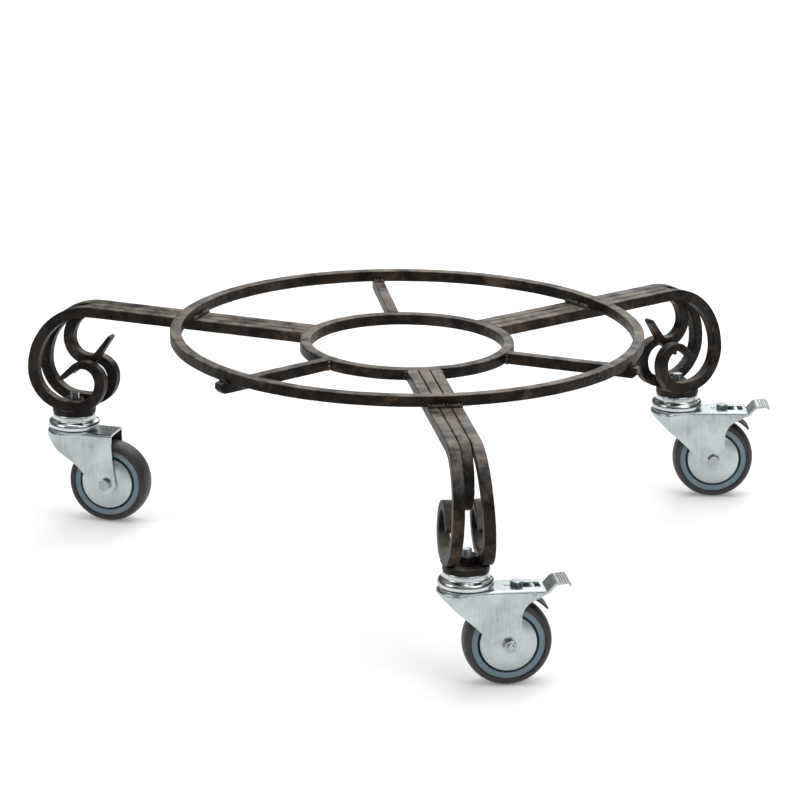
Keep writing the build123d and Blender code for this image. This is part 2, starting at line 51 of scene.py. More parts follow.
# ==== the pot ring ==========================================================================
# The hoop that the pot stands on: 10 mm square iron bar rolled to a ring and butt-welded.
# Hand work has left its faces slightly uneven and its edges worn round, and it is finished
# with a thin dark oily coat that lets a little brown rust through.
bar = 10 * mm
ring_low, ring_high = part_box("outer_ring")
ring_centre = Vector(((ring_low.x + ring_high.x) / 2, (ring_low.y + ring_high.y) / 2, 0))
outer_ring_radius = (ring_high.x - ring_low.x) / 2
bar_edge = 1.1 * mm
hammered_depth = 0.30 * mm
dents_per_metre, small_dents_per_metre = 70, 210
# colour of the upper faces: rubbed wear plus a painted highlight standing for the sheen of the light from
# above
rubbed_and_sheen_top = (0.225, 0.192, 0.160, 1)


def add(tree, kind, inputs=None, **settings):
    """Add a shader node; an input is given a value or the socket that feeds it."""
    made = tree.nodes.new(kind)
    for key, value in settings.items():
        setattr(made, key, value)
    for key, value in (inputs or {}).items():
        if isinstance(value, bpy.types.NodeSocket):
            tree.links.new(value, made.inputs[key])
        else:
            made.inputs[key].default_value = value
    return made


def between(tree, factor, low, high):
    """Ramp a 0-1 factor smoothly between two thresholds."""
    ramp = add(tree, "ShaderNodeMapRange", {"Value": factor, "From Min": low, "From Max": high})
    ramp.interpolation_type = "SMOOTHSTEP"
    return ramp.outputs["Result"]


def mixed(tree, factor, first, second):
    """Mix two colours, each a value or a socket."""
    made = add(tree, "ShaderNodeMix", data_type="RGBA")
    for index, value in ((0, factor), (6, first), (7, second)):
        if isinstance(value, bpy.types.NodeSocket):
            tree.links.new(value, made.inputs[index])
        else:
            made.inputs[index].default_value = value
    return made.outputs[2]


def speckle(tree, where, scale, detail=4.0, roughness=0.6):
    """Fractal noise, 0-1, with about `scale` lumps to the metre."""
    inputs = {"Vector": where, "Scale": scale, "Detail": detail, "Roughness": roughness}
    return add(tree, "ShaderNodeTexNoise", inputs).outputs["Fac"]


def new_material(name):
    """A material with its tree, its shader, and coordinates fixed to the piece."""
    material = bpy.data.materials.new(name)
    material.use_nodes = True
    tree = material.node_tree
    shader = next(node for node in tree.nodes if node.type == "BSDF_PRINCIPLED")
    where = add(tree, "ShaderNodeTexCoord").outputs["Object"]
    return material, tree, shader, where


def bumped(tree, shader, layers):
    """Feed the shader's normal from layers of (height socket, depth in metres)."""
    normal = None
    for height, depth in layers:
        bump = add(tree, "ShaderNodeBump", {"Height": height, "Distance": depth, "Strength": 1.0})
        if normal is not None:
            tree.links.new(normal, bump.inputs["Normal"])
        normal = bump.outputs["Normal"]
    tree.links.new(normal, shader.inputs["Normal"])


def iron_finish(name, dark, brown, rust, rust_from):
    """Forged iron under a thin coat: dark and brown patches, rust, and upper faces lightened by rubbed wear
    and by a painted highlight for the sheen of the light from above.
    """
    material, tree, shader, where = new_material(name)
    cloud = speckle(tree, where, 55)
    patch = speckle(tree, where, 22, 6.0, 0.7)
    grain = speckle(tree, where, 900, 3.0)
    colour = mixed(tree, between(tree, cloud, 0.38, 0.66), dark, brown)
    colour = mixed(tree, between(tree, patch, rust_from, rust_from + 0.16), colour, rust)
    normal = add(tree, "ShaderNodeNewGeometry").outputs["Normal"]
    facing = add(tree, "ShaderNodeSeparateXYZ", {0: normal})
    # upward-facing faces, in rubbed patches, are painted lighter: partly wear, partly a painted highlight for
    # the sheen of the overhead light
    upward = between(tree, facing.outputs["Z"], 0.30, 1.0)
    rubbed = between(tree, cloud, 0.28, 0.72)
    worn = add(tree, "ShaderNodeMath", {0: upward, 1: rubbed}, operation="MULTIPLY")
    colour = mixed(tree, worn.outputs[0], colour, rubbed_and_sheen_top)
    tree.links.new(colour, shader.inputs["Base Color"])
    rough = add(tree, "ShaderNodeMapRange", {"Value": cloud, "To Min": 0.28, "To Max": 0.52})
    tree.links.new(rough.outputs["Result"], shader.inputs["Roughness"])
    shader.inputs["Specular IOR Level"].default_value = 0.11
    hammering = speckle(tree, where, 160, 2.0)
    bumped(tree, shader, [(hammering, 1.1 * mm), (grain, 0.25 * mm)])
    return material


iron = iron_finish(
    "wrought_iron",
    dark=(0.0040, 0.0030, 0.0024, 1),
    brown=(0.026, 0.0175, 0.0120, 1),
    rust=(0.070, 0.046, 0.030, 1),
    rust_from=0.52,
)


def place(name, shape, material, body, slot, *stands_for, sharp=38):
    """Turn a finished bmesh into a piece that rides on its CAD body."""
    bmesh.ops.recalc_face_normals(shape, faces=shape.faces)
    mesh = bpy.data.meshes.new(name)
    shape.to_mesh(mesh)
    shape.free()
    mesh.shade_smooth()
    mesh.set_sharp_from_angle(angle=radians(sharp))
    mesh.materials.append(material)
    piece = bpy.data.objects.new(name, mesh)
    bpy.context.scene.collection.objects.link(piece)
    weighted = piece.modifiers.new("even_shading", "WEIGHTED_NORMAL")
    weighted.keep_sharp = True
    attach(piece, body)
    if stands_for:
        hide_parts(*stands_for)
    return piece


def rounded_outline(top, bottom, half_width, edge):
    """Outline of a bar's section as (up, across) pairs, its four edges rounded."""
    outline = []
    corners = ((top, half_width), (-bottom, half_width), (-bottom, -half_width), (top, -half_width))
    for quarter, (up, across) in enumerate(corners):
        centre_up = up - edge if up > 0 else up + edge
        centre_across = across - edge if across > 0 else across + edge
        for step in range(4):
            angle = radians(90 * quarter + 30 * step)
            outline.append((centre_up + edge * cos(angle), centre_across + edge * sin(angle)))
    return outline


def skin(shape, loops, closed=False):
    """Join loops of points, one to the next, and cap the ends."""
    rows = [[shape.verts.new(point) for point in loop] for loop in loops]
    count = len(rows[0])
    for index in range(len(rows) if closed else len(rows) - 1):
        here, there = rows[index], rows[(index + 1) % len(rows)]
        for step in range(count):
            after = (step + 1) % count
            shape.faces.new((here[step], here[after], there[after], there[step]))
    if not closed:
        shape.faces.new(rows[0])
        shape.faces.new(list(reversed(rows[-1])))


def forged(centre, up, across, top, bottom, half_width, edge=bar_edge, depth=hammered_depth):
    """One loop of a hand-worked bar: a rounded section with its faces slightly uneven."""
    loop = []
    for high, wide in rounded_outline(top, bottom, half_width, edge):
        point = centre + up * high + across * wide
        broad = noise.noise(point * dents_per_metre)
        small = noise.noise(point * small_dents_per_metre)
        dent = depth * (0.5 + 0.5 * broad + 0.25 * small)
        towards = (centre - point).normalized()
        loop.append(point + towards * max(dent, 0))
    return loop


def hoop(name, radius, level, slices, stands_for):
    """A ring of square bar, `radius` to its outside and `level` at its middle."""
    shape = bmesh.new()
    loops = []
    for index in range(slices):
        angle = 2 * pi * index / slices
        outward = Vector((cos(angle), sin(angle), 0))
        centre = ring_centre + outward * (radius - bar / 2) + Vector((0, 0, level))
        loops.append(forged(centre, Vector((0, 0, 1)), outward, bar / 2, bar / 2, bar / 2))
    skin(shape, loops, closed=True)
    return place(name, shape, iron, "frame", "wrought_iron", stands_for)


hoop("pot_ring_bar", outer_ring_radius, ring_low.z + bar / 2, 360, "outer_ring")

# ==== the small ring ========================================================================
# A second hoop of the same bar, level with the bars that are butted against it from outside.
# It is rolled and welded like the large one.
inner_low, inner_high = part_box("inner_ring")
inner_ring_radius = (inner_high.x - inner_low.x) / 2
run_level = (inner_low.z + inner_high.z) / 2
hoop("small_ring_bar", inner_ring_radius, run_level, 220, "inner_ring")

# ==== the spokes ============================================================================
# Three single bars from the small ring to just past the large one, which lies on them.
# Each is sawn from the same bar and has its lower outer corner forged to a bevel.
joints = {joint["name"]: joint for joint in frame["joints"]}
legs = ("front", "right", "left")
castor_points = {leg: Vector(joints[f"{leg}_swivel"]["pos_m"]) for leg in legs}
leg_angles = {}
for leg in legs:
    reach = castor_points[leg] - ring_centre
    leg_angles[leg] = atan2(reach.y, reach.x)
spoke_angles = {"right": radians(-21), "rear": radians(97.6), "left": radians(221.7)}
spoke_overhang = 6 * mm
spoke_bevel = 4 * mm
spoke_stations = 60
butt_overlap = 0.1 * mm
upwards = Vector((0, 0, 1))


def outward_of(angle):
    """Unit vectors along the floor at this angle, and to the right of it."""
    return Vector((cos(angle), sin(angle), 0)), Vector((sin(angle), -cos(angle), 0))


def butt(loop, outward):
    """Cut a loop of points to the small ring's outside, along the bar."""
    right = Vector((outward.y, -outward.x, 0))
    cut = []
    for point in loop:
        off = (point - ring_centre).dot(right)
        out = sqrt(inner_ring_radius**2 - off**2) - butt_overlap
        cut.append(ring_centre + outward * out + right * off + upwards * point.z)
    return cut


for name, angle in spoke_angles.items():
    outward, right = outward_of(angle)
    end = outer_ring_radius + spoke_overhang
    loops = []
    for step in range(spoke_stations + 1):
        out = inner_ring_radius + (end - inner_ring_radius) * step / spoke_stations
        lift = max(0, out - (end - spoke_bevel)) * 0.9
        worn = 0.5 * mm if step == spoke_stations else 0
        centre = ring_centre + outward * (out - 0.2 * mm) + upwards * run_level
        loops.append(forged(centre, upwards, right, bar / 2 - worn, bar / 2 - lift, bar / 2 - worn))
    loops[0] = butt(loops[0], outward)
    shape = bmesh.new()
    skin(shape, loops)
    place(f"{name}_spoke_bar", shape, iron, "frame", "wrought_iron", f"{name}_spoke")

# ==== the scrolled leg bars =================================================================
# Two bars of each leg run side by side from the small ring, twist apart past the large one,
# bend over to the castor's pad and curl back up into an open scroll with a drawn-out tail.
# They are bent cold round a former and hammered out thin at the tip.
bar_pitch = 10.3 * mm
twist_start = 5 * mm
scroll_depth = 90 * mm
scroll_arcs = ((57 * mm, 90), (33 * mm, 90), (24 * mm, 90), (16 * mm, 132))
scroll_foot_flat = 10 * mm
scroll_seat_offset = 0.5 * mm
scroll_tail = 17.5 * mm
foot_spread = 15 * mm
tail_tip = 4 * mm
tail_step = 1.2 * mm
straight_step = 2 * mm
thinned_from, thinned_by = 0.25, 0.38
pad_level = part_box("front_pad")[1].z
lean = atan((foot_spread - bar_pitch) / scroll_depth)


def curl(arcs, tail, flat_after=None, step=1.5 * mm):
    """Stations (x, y, heading, half thickness) along a bar that bends clockwise from +x."""
    stations = []
    x = y = heading = 0.0
    for index, (radius, turn) in enumerate(arcs):
        count = max(6, round(radius * radians(turn) / step))
        centre_x, centre_y = x + radius * sin(heading), y - radius * cos(heading)
        start = heading
        for part in range(1, count + 1):
            heading = start - radians(turn) * part / count
            x, y = centre_x - radius * sin(heading), centre_y + radius * cos(heading)
            is_last = index == len(arcs) - 1
            drawn_out = max(0, part / count - thinned_from) / (1 - thinned_from) if is_last else 0
            stations.append((x, y, heading, bar / 2 * (1 - thinned_by * drawn_out)))
        if index == flat_after:
            for part in range(1, 6):
                along = scroll_foot_flat / 5
                x, y = x + along * cos(heading), y + along * sin(heading)
                stations.append((x, y, heading, bar / 2))
    count = round(tail / tail_step)
    root = stations[-1][3]
    for part in range(1, count + 1):
        share = part / count
        thick = root + (tail_tip / 2 - root) * share
        if part == count:
            thick *= 0.6
        along = tail / count
        x, y = x + along * cos(heading), y + along * sin(heading)
        stations.append((x, y, heading, thick))
    return stations


def leg_bar(angle, side, curl_from, stations, lean_by):
    """Loops of one leg bar: a straight run, a twist outwards, then its curl."""
    outward, right = outward_of(angle)
    across = right * side
    beside = ring_centre + across * bar_pitch + upwards * run_level
    if side == 0:
        across = right
    loops = []
    out = inner_ring_radius
    twist_from = outer_ring_radius + twist_start
    while out < curl_from - 0.1 * mm:
        share = min(1, max(0, (out - twist_from) / (curl_from - twist_from)))
        up = upwards * cos(lean_by * share) - across * sin(lean_by * share)
        wide = across * cos(lean_by * share) + upwards * sin(lean_by * share)
        loops.append(forged(beside + outward * out, up, wide, bar / 2, bar / 2, bar / 2))
        out += straight_step
    loops[0] = butt(loops[0], outward)
    up = upwards * cos(lean_by) - across * sin(lean_by)
    wide = across * cos(lean_by) + upwards * sin(lean_by)
    for x, y, heading, thick in stations:
        centre = beside + outward * (curl_from + x) + up * y
        normal = outward * -sin(heading) + up * cos(heading)
        edge = min(bar_edge, thick * 0.45)
        loops.append(forged(centre, normal, wide, thick, thick, bar / 2, edge))
    return loops


scroll_stations = curl(scroll_arcs, scroll_tail, flat_after=1)
swivel_radius = (castor_points["front"] - ring_centre).xy.length
scroll_from = swivel_radius + scroll_seat_offset + scroll_arcs[1][0] - scroll_arcs[0][0]
for leg, angle in leg_angles.items():
    for hand, side in (("right", 1), ("left", -1)):
        loops = leg_bar(angle, side, scroll_from, scroll_stations, lean)
        for loop in loops:
            for point in loop:
                point.z = max(point.z, pad_level + 0.05 * mm)
        shape = bmesh.new()
        skin(shape, loops)
        node = f"{leg}_leg_{hand}_scroll"
        place(f"{leg}_{hand}_scroll_bar", shape, iron, "frame", "wrought_iron", node)

# ==== the hooked leg bars ===================================================================
# The middle bar of each leg bends down between the scrolls, a little before they do, and
# turns up into a smaller hook that ends in a straight tapered point.
hook_arcs = ((29 * mm, 90), (19 * mm, 90), (11 * mm, 55))
hook_tail = 24 * mm
hook_setback = 2 * mm
hook_stations = curl(hook_arcs, hook_tail)
for leg, angle in leg_angles.items():
    shape = bmesh.new()
    skin(shape, leg_bar(angle, 0, scroll_from - hook_setback, hook_stations, 0))
    place(f"{leg}_hook_bar", shape, iron, "frame", "wrought_iron", f"{leg}_leg_hook")

# ==== the castors' pads =====================================================================
# A thick round plate under each pair of scrolls, which the castor is bolted to.
# It is sawn from round bar, drilled, and coated together with the rest of the frame.
pad_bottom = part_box("front_pad")[0].z
pad_radius = 20 * mm
pad_bore = 5.05 * mm
pad_edge = 0.9 * mm
pad_dents_per_metre = 90
trail_angles = {}
for leg in legs:
    behind = Vector(joints[f"{leg}_wheel_spin"]["pos_m"]) - castor_points[leg]
    trail_angles[leg] = atan2(behind.y, behind.x)
castors = {}
for leg in legs:
    below_swivel = Matrix.Translation((castor_points[leg].x, castor_points[leg].y, 0))
    castors[leg] = below_swivel @ Matrix.Rotation(trail_angles[leg], 4, "Z")


def lathe(shape, outline, matrix=None, slices=96, uneven=0.0):
    """Turn a closed outline of (radius, height) points about the local z axis."""
    rows = []
    for index in range(slices):
        angle = 2 * pi * index / slices
        row = []
        for radius, height in outline:
            point = Vector((radius * cos(angle), radius * sin(angle), height))
            if uneven:
                dent = noise.noise(point * pad_dents_per_metre + Vector((3, 7, 11)))
                point.xy *= 1 - uneven * (0.5 + 0.5 * dent) / max(radius, mm)
            row.append(matrix @ point if matrix else point)
        rows.append(row)
    skin(shape, rows, closed=True)


def softened(outline, edge, steps=3):
    """Round the corners of a closed outline of (radius, height) points."""
    smooth = []
    count = len(outline)
    for index, corner in enumerate(outline):
        here = Vector(corner)
        before, after = Vector(outline[index - 1]), Vector(outline[(index + 1) % count])
        into = min(edge, (before - here).length * 0.45)
        out_of = min(edge, (after - here).length * 0.45)
        start = here + (before - here).normalized() * into
        finish = here + (after - here).normalized() * out_of
        for step in range(steps + 1):
            share = step / steps
            smooth.append(start * (1 - share) ** 2 + here * 2 * share * (1 - share) + finish * share**2)
    return [(point.x, point.y) for point in smooth]


for leg in legs:
    shape = bmesh.new()
    lower = [(pad_bore, pad_bottom), (pad_radius, pad_bottom)]
    outline = lower + [(pad_radius, pad_level), (pad_bore, pad_level)]
    lathe(shape, softened(outline, pad_edge), castors[leg], uneven=0.3 * mm)
    place(f"{leg}_pad_plate", shape, iron, "frame", "wrought_iron", f"{leg}_pad")

# ==== the weld nuts =========================================================================
# A plain M10 nut is welded to each pad between the feet of the scrolls and takes the
# castor's bolt. It went through the coating with the frame, so it is as dark.
nut_flats = 17 * mm
nut_low, nut_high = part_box("weld_nuts")[0].z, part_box("weld_nuts")[1].z
hexagon_slices = 72
bevel_share, bevel_slope = 0.97, 0.58
square_edge = 0.15 * mm


def hexagon(shape, flats, low, high, bore, matrix, turn=0.0, bevels=(True, True)):
    """A hexagon nut or bolt head along local z, its corners turned off to a cone."""
    rows = []
    bevel_from = flats / 2 * bevel_share
    for index in range(hexagon_slices):
        angle = 2 * pi * index / hexagon_slices
        across = flats / 2 / cos((angle - turn) % (pi / 3) - pi / 6)
        drop = (across - bevel_from) * bevel_slope
        down = drop if bevels[0] else square_edge
        up = drop if bevels[1] else square_edge
        outline = [(bore, low), (bevel_from, low), (across, low + down)]
        outline += [(across, high - up), (bevel_from, high), (bore, high)]
        rows.append([matrix @ Vector((r * cos(angle), r * sin(angle), z)) for r, z in outline])
    skin(shape, rows, closed=True)


shape = bmesh.new()
for leg in legs:
    below_swivel = Matrix.Translation((castor_points[leg].x, castor_points[leg].y, 0))
    seat = below_swivel @ Matrix.Rotation(leg_angles[leg], 4, "Z")
    hexagon(shape, nut_flats, nut_low, nut_high, pad_bore, seat, turn=pi / 3)
place("weld_nut_hexagons", shape, iron, "frame", "wrought_iron", "weld_nuts", sharp=25)

# ==== the welds =============================================================================
# Arc-weld beads hold the frame together: under both edges of the large ring over every bar,
# round the butts on the small ring, and at the feet of the scrolls and nuts on the pads.
# They are lumpy, and lighter and browner than the bars where the scale was brushed off.
weld_iron = iron_finish(
    "weld_metal",
    dark=(0.020, 0.015, 0.012, 1),
    brown=(0.075, 0.058, 0.046, 1),
    rust=(0.115, 0.080, 0.056, 1),
    rust_from=0.48,
)
bead_radius = 2.5 * mm
flat_bead_radius, side_bead_radius = 1.35 * mm, 1.7 * mm
foot_bead_radius, nut_bead_radius = 1.5 * mm, 1.1 * mm
bead_step, bead_sides = 0.6 * mm, 10
lump_length = 1.6 * mm
lumps_per_metre, ripples_per_metre = 380, 700


def bead(shape, points, radius=bead_radius):
    """A lumpy weld bead along a line of points, thin at its ends."""
    lengths = [0.0]
    for first, second in zip(points, points[1:]):
        lengths.append(lengths[-1] + (second - first).length)
    count = max(8, round(lengths[-1] / bead_step))
    loops = []
    for index in range(count + 1):
        at = lengths[-1] * index / count
        part = max(k for k in range(len(points) - 1) if lengths[k] <= at + 1e-9)
        share = (at - lengths[part]) / max(lengths[part + 1] - lengths[part], 1e-9)
        centre = points[part].lerp(points[part + 1], share)
        along = (points[part + 1] - points[part]).normalized()
        first = along.cross(Vector((0.31, 0.17, 0.93))).normalized()
        second = along.cross(first)
        lump = 0.85 + 0.22 * sin(at / lump_length * pi) + 0.55 * noise.noise(centre * lumps_per_metre)
        taper = min(1, 0.35 + 3 * min(at, lengths[-1] - at) / (3 * mm))
        loop = []
        for step in range(bead_sides):
            angle = 2 * pi * step / bead_sides
            ray = first * cos(angle) + second * sin(angle)
            ripple = 1 + 0.30 * noise.noise((centre + ray * radius) * ripples_per_metre)
            loop.append(centre + ray * radius * max(lump, 0.45) * taper * ripple)
        loops.append(loop)
    skin(shape, loops)


def ring_point(angle, radius, offset, level):
    """Point on a circle about the rings' axis, `offset` sideways of a bar at this angle."""
    bearing = angle - asin(offset / radius)
    return ring_centre + Vector((radius * cos(bearing), radius * sin(bearing), level))


bar_top = run_level + bar / 2
leg_half = 1.5 * bar + 0.3 * mm
ring_welds = bmesh.new()
butt_welds = bmesh.new()
across_bar = [k / 6 for k in range(-6, 7)]
down_bar = [k / 8 for k in range(1, 8)]
butt_radius, side_radius = inner_ring_radius + 0.5 * mm, inner_ring_radius + 0.6 * mm
welded = [(angle, leg_half) for angle in leg_angles.values()]
welded += [(angle, bar / 2) for angle in spoke_angles.values()]
for angle, half in welded:
    for radius in (outer_ring_radius + 0.2 * mm, outer_ring_radius - bar - 0.2 * mm):
        line = [ring_point(angle, radius, half * share, bar_top + 0.3 * mm) for share in across_bar]
        bead(ring_welds, line)
    for level in (bar_top - 1.3 * mm, bar_top - bar + 0.9 * mm):
        line = [ring_point(angle, butt_radius, half * share, level) for share in across_bar]
        bead(butt_welds, line, flat_bead_radius)
    for hand in (-1, 1):
        aside = hand * (half + 0.2 * mm)
        line = [ring_point(angle, side_radius, aside, bar_top - bar * share) for share in down_bar]
        bead(butt_welds, line, side_bead_radius)
place("pot_ring_welds", ring_welds, weld_iron, "frame", "wrought_iron", sharp=60)
place("small_ring_welds", butt_welds, weld_iron, "frame", "wrought_iron", sharp=60)

foot_welds = bmesh.new()
for leg, angle in leg_angles.items():
    outward, right = outward_of(angle)
    middle = Vector((castor_points[leg].x, castor_points[leg].y, pad_level))
    for side in (-1, 1):
        edge = middle + right * side * (foot_spread + bar / 2 - 1.4 * mm) + upwards * 0.5 * mm
        bead(foot_welds, [edge + outward * k * mm for k in (-9, -5, 0, 4)], foot_bead_radius)
    round_nut = []
    for turn in [2 * pi * k / 24 for k in range(25)]:
        ray = outward * cos(turn) + right * sin(turn)
        round_nut.append(middle + ray * (nut_flats / 2 + 0.3 * mm) + upwards * 0.3 * mm)
    bead(foot_welds, round_nut, nut_bead_radius)
place("foot_welds", foot_welds, weld_iron, "frame", "wrought_iron", sharp=60)

# ==== the mounting bolts ====================================================================
# One M10 bolt through the hollow rivet of each castor, screwed up into the weld nut until
# its threaded end stands out on top. It is rolled steel with a bright zinc coat.
bolt_radius = 5 * mm
bolt_low, bolt_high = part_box("mounting_bolts")[0].z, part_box("mounting_bolts")[1].z
bolt_head = 6.4 * mm
coarse_pitch = 1.5 * mm
thread_slices, thread_steps = 32, 10
core = 0.3 * mm


def plated(name, light, dark, rough, metallic=1.0, blotch=30, streak=1.0, grain_depth=0.03 * mm):
    """Plated steel: cloudy colour, uneven gloss, a fine grain and faint drawn streaks."""
    material, tree, shader, where = new_material(name)
    cloud = speckle(tree, where, blotch, 5.0)
    stretched = add(tree, "ShaderNodeMapping", {"Vector": where, "Scale": (1, 1, 0.06)}).outputs[0]
    drawn = speckle(tree, stretched, 900, 2.0)
    grain = speckle(tree, where, 3000, 2.0)
    clouded = between(tree, cloud, 0.3, 0.7)
    shade = add(tree, "ShaderNodeMath", {0: clouded, 1: drawn}, operation="MULTIPLY")
    colour = mixed(tree, shade.outputs[0], light, dark)
    tree.links.new(colour, shader.inputs["Base Color"])
    gloss = add(tree, "ShaderNodeMath", {0: cloud, 1: drawn}, operation="ADD")
    limits = {"From Min": 0.6, "From Max": 1.4, "To Min": rough * 0.75, "To Max": rough * 1.3}
    spread = add(tree, "ShaderNodeMapRange", {"Value": gloss.outputs[0], **limits})
    tree.links.new(spread.outputs["Result"], shader.inputs["Roughness"])
    shader.inputs["Metallic"].default_value = metallic
    bumped(tree, shader, [(drawn, 0.03 * mm * streak), (grain, grain_depth)])
    return material


fastener_zinc = plated("zinc_fastener", (0.40, 0.43, 0.44, 1), (0.17, 0.19, 0.20, 1), 0.22)


def stem(shape, radius, low, high, matrix, slices):
    """A plain round shank along local z."""
    lathe(shape, [(core, low), (radius, low), (radius, high), (core, high)], matrix, slices)


def thread(shape, radius, low, high, pitch, matrix):
    """A screwed shank along local z, its end turned down, closed at both ends."""
    loops = []
    height = low
    while height <= high + 1e-9:
        turned_down = max(0, height - (high - pitch * 0.6))
        loop = []
        for index in range(thread_slices):
            angle = 2 * pi * index / thread_slices
            phase = ((height - low) / pitch - index / thread_slices) % 1
            groove = 0.6 * pitch * (1 - abs(2 * phase - 1)) ** 1.2
            at = min(radius - groove, radius - turned_down)
            loop.append(matrix @ Vector((at * cos(angle), at * sin(angle), height)))
        loops.append(loop)
        height += pitch / thread_steps
    skin(shape, loops)


shape = bmesh.new()
for leg in legs:
    seat = castors[leg]
    head_top = bolt_low + bolt_head
    hexagon(shape, nut_flats, bolt_low, head_top, 0.5 * mm, seat, bevels=(True, False))
    stem(shape, bolt_radius, head_top, nut_high - 2 * mm, seat, 48)
    thread(shape, bolt_radius, nut_high - 2.5 * mm, bolt_high, coarse_pitch, seat)
place("castor_bolts", shape, fastener_zinc, "frame", "zinc_fastener", "mounting_bolts", sharp=30)

# ==== the swivel caps =======================================================================
# A deep-drawn dome covers each castor's ball race: a flat crown, a step with a groove under
# it, a wide bulge and a lip turned in. It is steel with a mirror-bright plating.
cap_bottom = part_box("front_swivel_cap")[0].z
cap_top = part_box("front_swivel_cap")[1].z
cap_outline = (
    (8.1, 0.0), (16.6, 0.0), (18.2, -0.25), (19.2, -1.1), (19.5, -2.3), (19.75, -4.2),
    (19.9, -5.2), (20.5, -6.0), (21.7, -6.75), (22.9, -7.7), (23.6, -9.0), (23.95, -10.6),
    (23.75, -12.2), (23.0, -13.2), (22.0, -13.55), (21.6, -13.2), (22.4, -11.0), (21.8, -9.2),
    (19.4, -7.4), (18.2, -5.6), (17.9, -1.9), (8.1, -1.5),
)


def flowing(points, per=5):
    """A closed outline that passes smoothly through these points."""
    smooth = []
    count = len(points)
    for index in range(count):
        p0, p1, p2, p3 = (Vector(points[(index + k) % count]) for k in (-1, 0, 1, 2))
        for step in range(per):
            t = step / per
            value = 2 * p1 + (p2 - p0) * t + (2 * p0 - 5 * p1 + 4 * p2 - p3) * t * t
            value += (3 * p1 - p0 - 3 * p2 + p3) * t**3
            smooth.append(value / 2)
    return smooth


chrome_light, chrome_dark = (0.60, 0.625, 0.635, 1), (0.40, 0.43, 0.445, 1)
mirror_grain = 0.004 * mm
chrome = plated(
    "bright_chrome", chrome_light, chrome_dark, 0.20, streak=0.15, grain_depth=mirror_grain
)
for leg in legs:
    shape = bmesh.new()
    outline = []
    for point in flowing(cap_outline):
        outline.append((point.x * mm, min(max(cap_top + point.y * mm, cap_bottom), cap_top)))
    lathe(shape, outline, castors[leg], 144)
    place(f"{leg}_cap_dome", shape, chrome, "frame", "bright_chrome", f"{leg}_swivel_cap", sharp=50)

# ==== the hollow rivets and the balls of the swivels ========================================
# Inside the cap a hollow rivet holds the swivel together and twelve steel balls run between
# the cap and the fork's track. Both are plain turned and ground steel under a film of grease.
race_steel = plated("bearing_steel", (0.42, 0.41, 0.38, 1), (0.22, 0.21, 0.19, 1), 0.22)


def finished(node, material):
    """Give a piece that keeps its CAD shape its finish."""
    carried = frame["nodes"][node]
    carried.data.materials.clear()
    carried.data.materials.append(material)
    return carried


for leg in legs:
    finished(f"{leg}_king_pin", race_steel)
    finished(f"{leg}_swivel_balls", race_steel)

# ==== the forks =============================================================================
# Each fork is one blank of 2 mm steel: a ball track is pressed up in its top, then the two
# cheeks are folded down and flared out round the track at the front. Blue-white zinc plate.
trail = 35 * mm
wheel_level = 37.5 * mm
sheet = 2 * mm
fork_boss = 10 * mm
fork_front = 24.5 * mm
nose_lip = 1 * mm
nose_hollow = 1.7 * mm
flare_start = 8 * mm
fork_half = 16 * mm
fold_radius = 2.6 * mm
throat_radius, throat_turn = 17 * mm, radians(62)
tail_depth = 4 * mm
fork_top = castor_points["front"].z
fork_rear = {"front": 64.5 * mm, "right": 64.5 * mm, "left": 40.5 * mm}
braked = {"front": True, "right": True, "left": False}
brake_bolt_at = 42.5 * mm
slot_start, slot_width = 31.7 * mm, 1.5 * mm
window = (47 * mm, 62 * mm, 13 * mm)
pedal_pin_at, pedal_pin_drop = 55.5 * mm, 3.5 * mm
track_outline = (
    (8.1, 7.5), (14.6, 7.5), (16.2, 7.0), (17.6, 5.9), (18.7, 3.4), (19.3, 2.2), (20.4, 1.5),
    (21.6, 1.15), (22.3, 0.55), (22.2, -0.6), (21.4, -1.3), (20.0, -1.7), (17.8, -0.9),
    (16.4, 3.2), (15.0, 5.5), (8.1, 5.5),
)
track_bore, track_seat, seat_depth = 14.4 * mm, 18.4 * mm, 1.2 * mm
beyond = 60 * mm


def arc(centre, radius, start, finish, steps):
    """Points on an arc in the x-z plane, angles in radians from +x towards +z."""
    angles = [start + (finish - start) * k / steps for k in range(steps + 1)]
    return [(centre[0] + radius * cos(a), centre[1] + radius * sin(a)) for a in angles]


def cheek_profile(rear, has_brake):
    """Side view of a fork, (behind the swivel axis, height), as a closed outline."""
    nose = Vector((-fork_front - nose_lip, fork_top - sheet))
    boss = Vector((trail, wheel_level))
    to_nose = nose - boss
    touch = atan2(to_nose.y, to_nose.x) + acos(fork_boss / to_nose.length)
    meets = boss + Vector((cos(touch), sin(touch))) * fork_boss
    square = Vector((meets.y - nose.y, nose.x - meets.x)).normalized()
    if square.y > 0:
        square = -square
    outline = [(-2 * fork_front, fork_top + mm), (-2 * fork_front, nose.y)]
    for k in range(25):
        share = k / 24
        hollow = square * -4 * nose_hollow * share * (1 - share)
        point = nose.lerp(meets, share) + hollow
        outline.append((point.x, point.y))
    outline += arc(boss, fork_boss, touch, 2 * pi, 28)[1:]
    if has_brake:
        throat_at = trail + fork_boss + throat_radius * (1 - cos(throat_turn))
        throat_end = fork_top - tail_depth - (rear - throat_at) * cos(throat_turn) / sin(throat_turn)
        level = throat_end - throat_radius * sin(throat_turn)
        middle = (trail + fork_boss + throat_radius, level)
        outline += arc(middle, throat_radius, pi, pi - throat_turn, 16)
        outline.append((rear, fork_top - tail_depth))
    else:
        for k in range(1, 13):
            share = k / 12
            out = trail + fork_boss + (rear - trail - fork_boss) * (share + 0.67 * share * (1 - share))
            outline.append((out, wheel_level + (fork_top - wheel_level) * share))
    outline.append((rear, fork_top + mm))
    return outline


